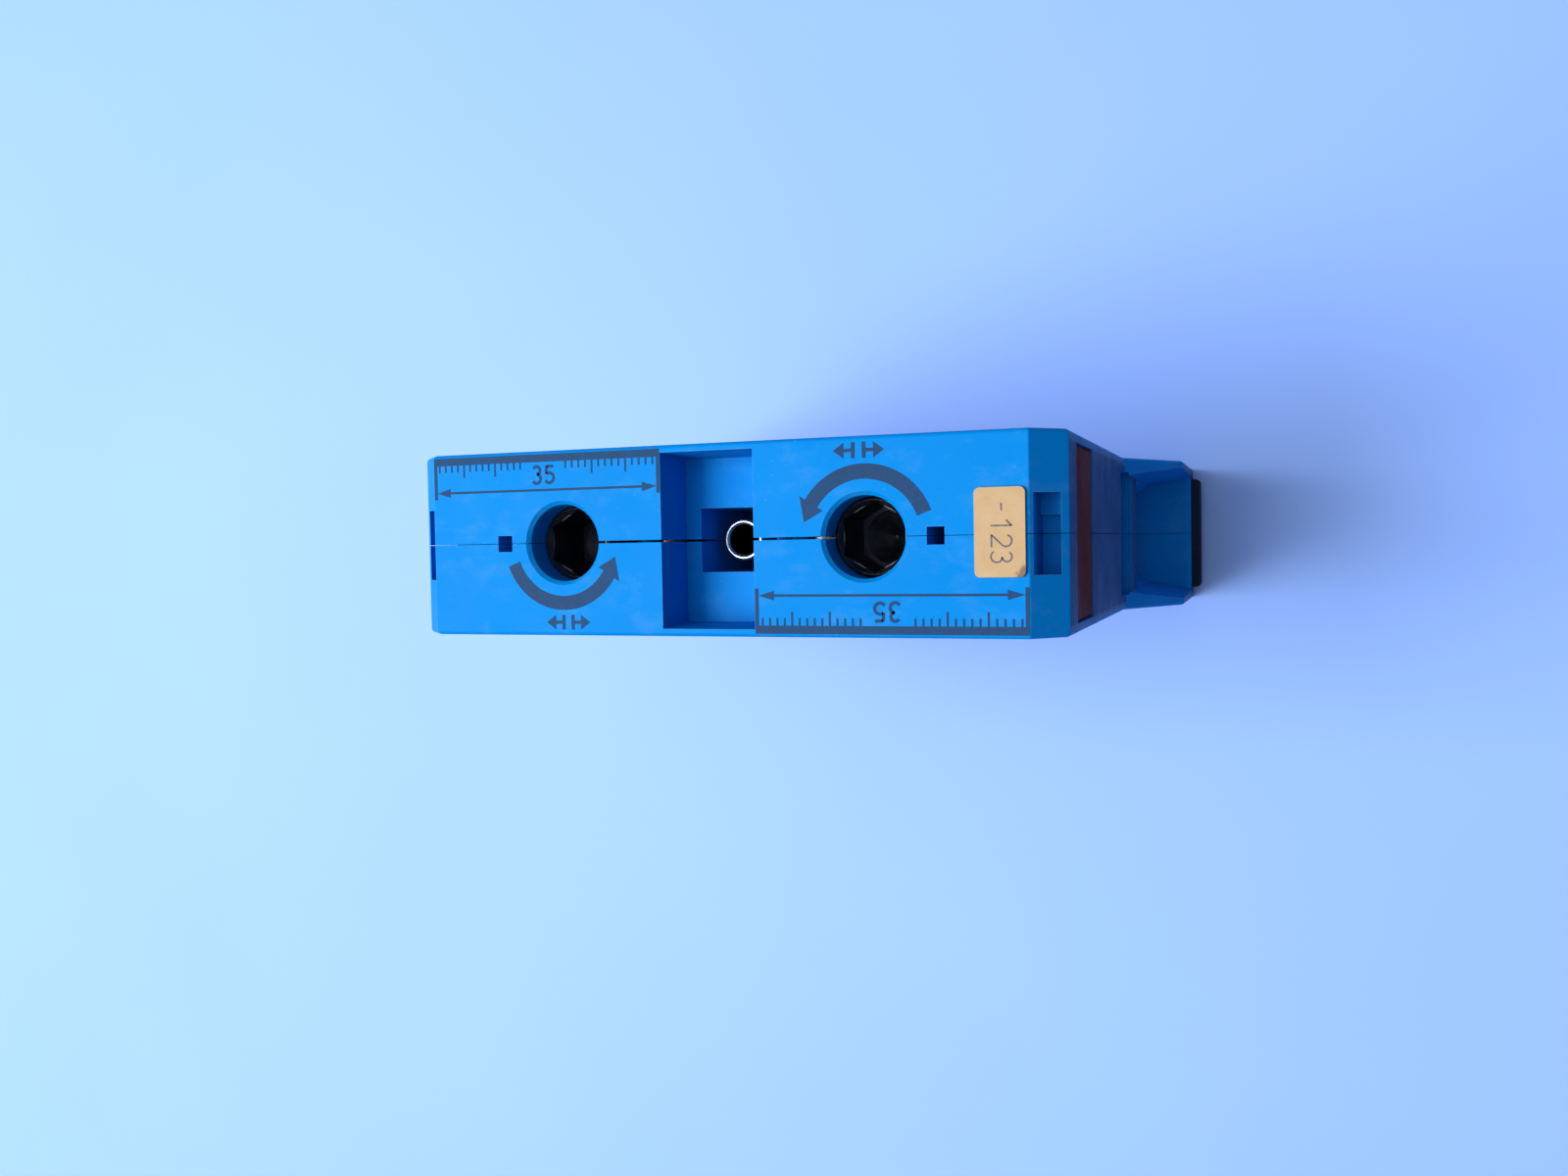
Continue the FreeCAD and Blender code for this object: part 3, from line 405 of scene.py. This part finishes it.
def gauge():
    """Stripping gauge of the right-hand clamp: bar, end lines, dimension line, ruler ticks and 35."""
    start, end = POCKET_X + GAUGE_INSET, TOP_X - GAUGE_INSET
    length, half = GAUGE_ARROW[0], GAUGE_ARROW[1] / 2
    line = GAUGE_LINE_WIDTH / 2
    shapes = [
        slab(start, end, -BAR_OUTER, -BAR_INNER),
        slab(start, start + GAUGE_END_WIDTH, -BAR_INNER, -GAUGE_LINE + GAUGE_END_PAST),
        slab(end - GAUGE_END_WIDTH, end, -BAR_INNER, -GAUGE_LINE + GAUGE_END_PAST),
        slab(start + length, end - length, -GAUGE_LINE - line, -GAUGE_LINE + line),
    ]
    inner_start, inner_end = start + GAUGE_END_WIDTH, end - GAUGE_END_WIDTH
    shapes.append([(inner_start, -GAUGE_LINE), (start + length, -GAUGE_LINE - half),
                   (start + length, -GAUGE_LINE + half)])
    shapes.append([(inner_end, -GAUGE_LINE), (end - length, -GAUGE_LINE + half),
                   (end - length, -GAUGE_LINE - half)])
    for mark in range(1, GAUGE_LENGTH):
        x = start + mark
        if FIGURE_GAP[0] < x < FIGURE_GAP[1]:
            continue
        reach = TICK_LONG if mark % TICK_EVERY == 0 else TICK_SHORT
        shapes.append(slab(x - TICK_HALF, x + TICK_HALF, -BAR_INNER, -BAR_INNER + reach))
    middle = (start + end) / 2
    shapes += figures("35", GAUGE_FIGURE, FIGURE_ADVANCE, GAUGE_STROKE,
                      lambda x, y: (middle + 1.65 - x, -BAR_INNER + 2.9 - y))
    return shapes


def curved_arrow():
    """Opening direction round the right-hand drive hole."""
    centre = (DRIVE_X, 0.0)
    band = around(centre, ARC_OUTER, ARC_TAIL, ARC_NECK, ARC_STEPS)
    band += around(centre, ARC_INNER, ARC_NECK, ARC_TAIL, ARC_STEPS)
    middle = (ARC_INNER + ARC_OUTER) / 2
    outer = around(centre, middle + ARC_HEAD / 2, ARC_NECK, ARC_NECK, 1)[0]
    inner = around(centre, middle - ARC_HEAD / 2, ARC_NECK, ARC_NECK, 1)[0]
    tip = around(centre, middle, ARC_TIP, ARC_TIP, 1)[0]
    return [band, [outer, tip, inner]]


def open_sign():
    """Two bars drawn apart by arrowheads: a plain sign for opening."""
    middle = DRIVE_X - SIGN_OFFSET
    centre = (SIGN_LOW + SIGN_HIGH) / 2
    shapes = []
    for side in (-1, 1):
        near, far = (middle + side * x for x in SIGN_BAR)
        stem, tip = middle + side * SIGN_STEM, middle + side * SIGN_TIP
        shapes.append(slab(*sorted((near, far)), SIGN_LOW, SIGN_HIGH))
        shapes.append(slab(*sorted((far, stem)), centre - SIGN_STEM_HALF, centre + SIGN_STEM_HALF))
        shapes.append([(tip, centre), (stem, SIGN_LOW), (stem, SIGN_HIGH)])
    return shapes


def tag_figures():
    """Plain figures along the marker tag, read from its far end."""
    low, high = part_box("marker_tag")
    foot_x = low.x / MM + 2.0
    start_y = high.y / MM - 1.7
    return figures("-123", TAG_FIGURE, FIGURE_ADVANCE, TAG_STROKE,
                   lambda x, y: (foot_x + y, start_y - x))


def dress(names, material):
    """Gives CAD nodes a material."""
    for name in names:
        mesh = frame["nodes"][name].data
        mesh.materials.clear()
        mesh.materials.append(material)


def pair(name):
    return [name + "_right", name + "_left"]


def build_object():
    """Dresses the CAD nodes and adds the printing."""
    # The fourth colour of each plastic is the painted shade of its right-hand end faces.
    azure = moulded_plastic("azure_polyamide", (0.0, 0.198, 0.590), (0.12, 0.30, 0.56),
                            (0.0, 0.165, 0.50), (0.010, 0.036, 0.112))
    brick = moulded_plastic("brick_red_polyamide", (0.150, 0.018, 0.010), (0.20, 0.05, 0.04),
                            (0.110, 0.011, 0.007), (0.105, 0.003, 0.003), 0.5, 0.4, 0.013)
    black = moulded_plastic("black_polyamide", (0.011, 0.024, 0.052), (0.07, 0.08, 0.10),
                            (0.007, 0.014, 0.030), (0.014, 0.028, 0.060), 0.5, 0.3)
    dress(["housing_front_shell", "housing_rear_shell"], azure)
    dress(pair("locking_latch"), brick)
    dress(["foot_slide"], black)
    dress(pair("drive_spindle"), black_steel("blackened_steel"))
    silver = plated_metal("silvered_brass", (0.62, 0.62, 0.62), (0.36, 0.34, 0.31), 0.30,
                          (1, 1, 0.1), bore=PLUG_R)
    dress(["test_socket"], silver)
    tin = plated_metal("tinned_copper", (0.72, 0.71, 0.68), (0.50, 0.43, 0.36), 0.34, (0.1, 2, 2))
    dress(["current_bar"], tin)
    zinc = plated_metal("zinc_plate", (0.60, 0.61, 0.61), (0.42, 0.42, 0.40), 0.36, (2, 2, 0.15))
    dress(pair("support_frame") + pair("clamp_stirrup") + pair("thrust_washer"), zinc)
    spring = plated_metal("spring_steel", (0.42, 0.42, 0.43), (0.25, 0.22, 0.20), 0.28, (2, 0.1, 2))
    dress(pair("clamp_spring") + pair("latch_spring") + ["foot_spring"], spring)
    brass = plated_metal("machined_brass", (0.80, 0.60, 0.26), (0.52, 0.36, 0.14), 0.30, (1, 1, 2))
    dress(pair("cam_nut"), brass)
    steel = plated_metal("ground_steel", (0.55, 0.55, 0.56), (0.35, 0.34, 0.33), 0.22)
    dress(pair("cam_pins"), steel)
    dress(["marker_tag"], tag_plastic("marker_orange"))
    ink = printing_ink("grey_ink")
    for name, shapes in (("gauge_print", gauge()), ("turn_arrow_print", curved_arrow()),
                         ("open_sign_print", open_sign())):
        printed(name + "_right", shapes, ink)
        printed(name + "_left", turned(shapes), ink)
    tag_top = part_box("marker_tag")[1].z / MM
    printed("tag_figures", tag_figures(), pen_ink("pen_ink"), tag_top)


# ---- stage ----

def floor():
    """Plain pale table under the block."""
    mesh = bpy.data.meshes.new("table_top")
    corners = [(x, y, 0) for x, y in slab(-TABLE_HALF, TABLE_HALF, -TABLE_HALF, TABLE_HALF)]
    mesh.from_pydata(corners, [], [(0, 1, 2, 3)])
    mesh.materials.append(table_paper("table_paper"))
    plane = bpy.data.objects.new("table_top", mesh)
    plane.location.z = FOOT * MM
    bpy.context.scene.collection.objects.link(plane)


def area_light(name, at, towards, size, watts, colour):
    data = bpy.data.lights.new(name, "AREA")
    data.shape = "RECTANGLE"
    data.size, data.size_y = size
    data.energy = watts
    data.color = colour
    lamp = bpy.data.objects.new(name, data)
    lamp.location = at
    lamp.rotation_euler = (Vector(towards) - Vector(at)).to_track_quat("-Z", "Y").to_euler()
    bpy.context.scene.collection.objects.link(lamp)


def lights():
    for light in LIGHTS:
        area_light(*light)
    world = bpy.data.worlds.new("sky")
    world.use_nodes = True
    background = world.node_tree.nodes["Background"]
    background.inputs["Color"].default_value = SKY
    background.inputs["Strength"].default_value = SKY_STRENGTH
    bpy.context.scene.world = world
    bpy.context.scene.view_settings.view_transform = "Standard"


def camera():
    """Looks down on the top face from beyond the right-hand end."""
    yaw, pitch, roll = (math.radians(a) for a in CAMERA_TURN)
    right = Vector((math.cos(yaw), 0, -math.sin(yaw)))
    up = Vector((0, 1, 0))
    ahead = Vector((-math.sin(yaw), 0, -math.cos(yaw)))
    up, ahead = (math.cos(pitch) * up + math.sin(pitch) * ahead,
                 -math.sin(pitch) * up + math.cos(pitch) * ahead)
    right, up = (math.cos(roll) * right + math.sin(roll) * up,
                 -math.sin(roll) * right + math.cos(roll) * up)
    data = bpy.data.cameras.new("camera")
    data.lens = LENS
    data.sensor_width = SENSOR
    data.clip_start = 0.01
    eye = bpy.data.objects.new("camera", data)
    turn = Matrix((right, up, -ahead)).transposed()
    at = Vector((CAMERA_X, CAMERA_Y, TOP + CAMERA_ABOVE)) * MM
    eye.matrix_world = Matrix.Translation(at) @ turn.to_4x4()
    bpy.context.scene.collection.objects.link(eye)
    bpy.context.scene.camera = eye


build_object()
floor()
lights()
camera()
